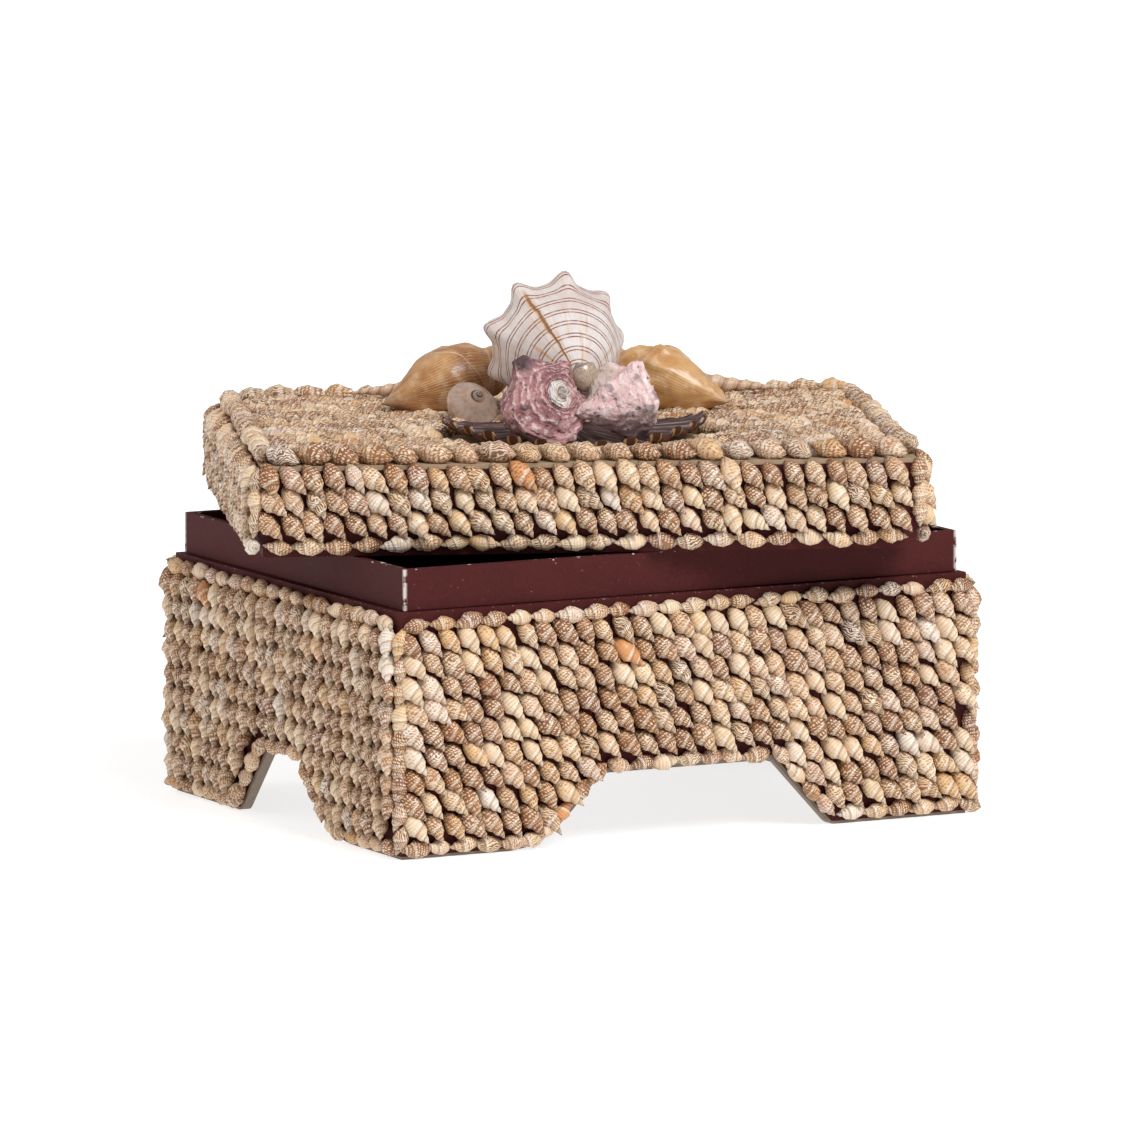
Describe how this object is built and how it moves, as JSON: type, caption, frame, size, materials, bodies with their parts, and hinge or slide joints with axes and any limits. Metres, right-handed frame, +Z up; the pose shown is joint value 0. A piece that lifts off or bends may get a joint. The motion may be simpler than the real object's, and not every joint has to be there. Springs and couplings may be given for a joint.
{
  "type": "shell box",
  "caption": "Rectangular keepsake box on bracket feet, clad with rows of small sea shells, with a dark red collar and a loose lid that carries a group of larger shells.",
  "frame": {"origin": "on the surface the box stands on, under the middle of the whole object, which is the middle of the lid", "axes": "+X runs along the front of the base to the right, +Y from the front to the back, +Z up"},
  "size_m": [0.3172, 0.2865, 0.2043],
  "materials": {
    "red_paper_board": "matte",
    "lid_board": "matte",
    "small_shells": "satin",
    "scallop_shell": "satin",
    "striped_shell": "satin",
    "golden_shell": "satin",
    "dark_pink_shell": "matte",
    "pale_pink_shell": "matte",
    "moon_shell": "gloss",
    "screw_shell": "satin",
    "grey_shell": "gloss"
  },
  "bodies": {
    "root": {"case": "red_paper_board", "collar": "red_paper_board", "lid_tray": "lid_board", "base_front_shells": "small_shells", "base_back_shells": "small_shells", "base_left_shells": "small_shells", "base_right_shells": "small_shells", "lid_top_shells": "small_shells", "lid_front_shells": "small_shells", "lid_back_shells": "small_shells", "lid_left_shells": "small_shells", "lid_right_shells": "small_shells", "scallop": "scallop_shell", "striped_conch": "striped_shell", "golden_conch_left": "golden_shell", "golden_conch_right": "golden_shell", "pink_murex_left": "dark_pink_shell", "pink_murex_right": "pale_pink_shell", "moon_snail": "moon_shell", "screw_shell_left": "screw_shell", "screw_shell_right": "screw_shell", "grey_cone": "grey_shell"}
  },
  "joints": []
}
